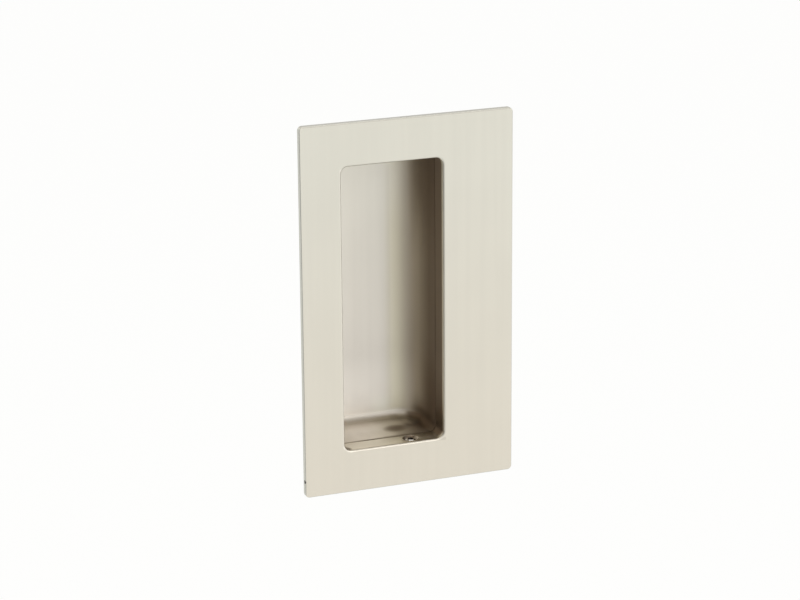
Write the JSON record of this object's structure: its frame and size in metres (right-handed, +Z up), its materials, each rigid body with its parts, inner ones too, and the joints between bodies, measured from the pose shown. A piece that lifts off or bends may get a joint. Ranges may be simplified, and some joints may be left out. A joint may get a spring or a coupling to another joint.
{
  "type": "recessed pull handle",
  "caption": "Rectangular flush pull for a sliding door: a thin face plate with an off-centre finger recess, fixed from behind by a hidden flange and set screws.",
  "frame": {"origin": "middle of the face plate's outline, in the plane where the back of its rim bears on the door", "axes": "+Z up along the plate's long side, +Y into the door along the depth of the recess, +X to the right seen from the front; the face looks along -Y"},
  "size_m": [0.06, 0.0235, 0.102],
  "materials": {
    "plate_satin_nickel": "satin nickel plate on a zinc casting, very fine upright brushing",
    "cup_satin_nickel": "satin nickel plate on a zinc casting, brushed upright inside, as cast and plated outside",
    "screw_nickel": "bright nickel plated steel"
  },
  "bodies": {
    "root": {"face_plate": "plate_satin_nickel", "cup": "cup_satin_nickel", "set_screw_bottom": "screw_nickel", "set_screw_top": "screw_nickel"}
  },
  "joints": []
}
